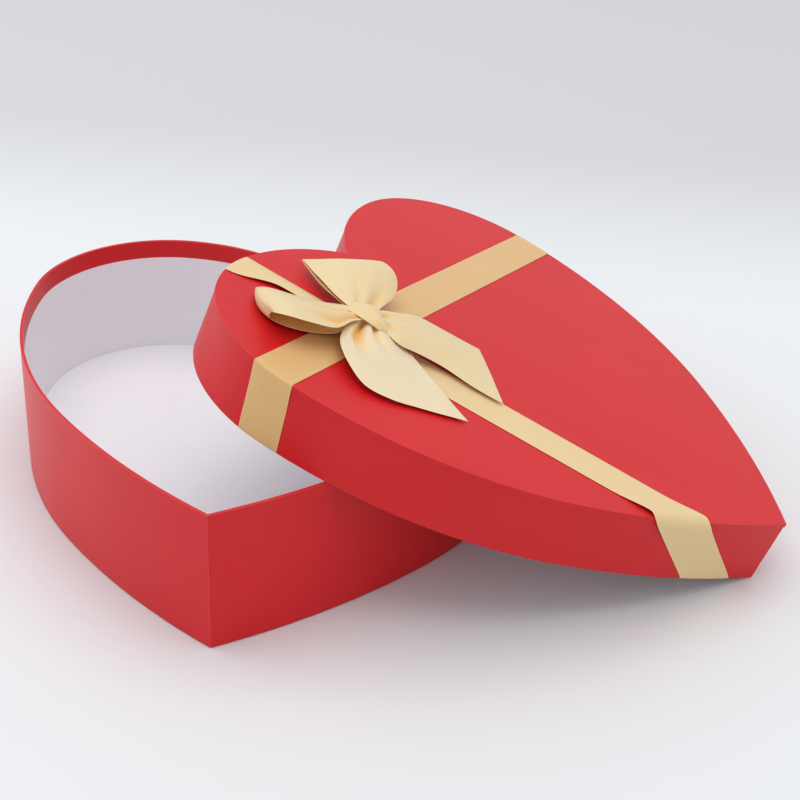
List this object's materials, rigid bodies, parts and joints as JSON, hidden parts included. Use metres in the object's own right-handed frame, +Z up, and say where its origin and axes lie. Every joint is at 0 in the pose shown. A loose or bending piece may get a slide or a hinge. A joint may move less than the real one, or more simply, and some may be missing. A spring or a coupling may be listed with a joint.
{
  "type": "heart-shaped gift box",
  "caption": "Heart-shaped paperboard gift box with a white-lined tray and a red lid that leans open on its rim, trimmed with crossed gold satin ribbon bands and a bow.",
  "frame": {"origin": "middle of the tray's heart, halfway along its width and its length, on the underside of the tray", "axes": "+Z up; -Y from the middle of the tray to its tip; +X towards the lid, which leans on the tray's right rim and slopes down to the table"},
  "size_m": [0.3621, 0.2804, 0.1184],
  "materials": {
    "red_paper": "satin",
    "white_paper": "matte",
    "greyboard": "matte",
    "stay_tape": "matte",
    "gold_satin": "satin sheen"
  },
  "bodies": {
    "base": {"base_bottom_sheet": "red_paper", "base_floor_board": "greyboard", "base_side_wrap": "red_paper", "base_wall_liner": "white_paper", "base_floor_liner": "white_paper", "base_tip_stay": "stay_tape", "base_notch_stay": "stay_tape", "base_wall_board_left": "greyboard", "base_wall_board_right": "greyboard"},
    "lid": {"lid_top_board": "greyboard", "lid_top_sheet": "red_paper", "lid_side_wrap": "red_paper", "lid_wall_liner": "white_paper", "lid_top_liner": "white_paper", "lid_tip_stay": "stay_tape", "lid_notch_stay": "stay_tape", "lid_wall_board_left": "greyboard", "lid_wall_board_right": "greyboard", "ribbon_cross": "gold_satin", "ribbon_long": "gold_satin", "bow_knot": "gold_satin", "bow_left_loop": "gold_satin", "bow_top_loop": "gold_satin", "bow_front_tail": "gold_satin", "bow_right_tail": "gold_satin"}
  },
  "joints": [
    {"name": "lid_lift", "type": "slide", "parent": "base", "child": "lid", "axis": [0, 0, 1], "range_m": [0, 0.12]}
  ]
}
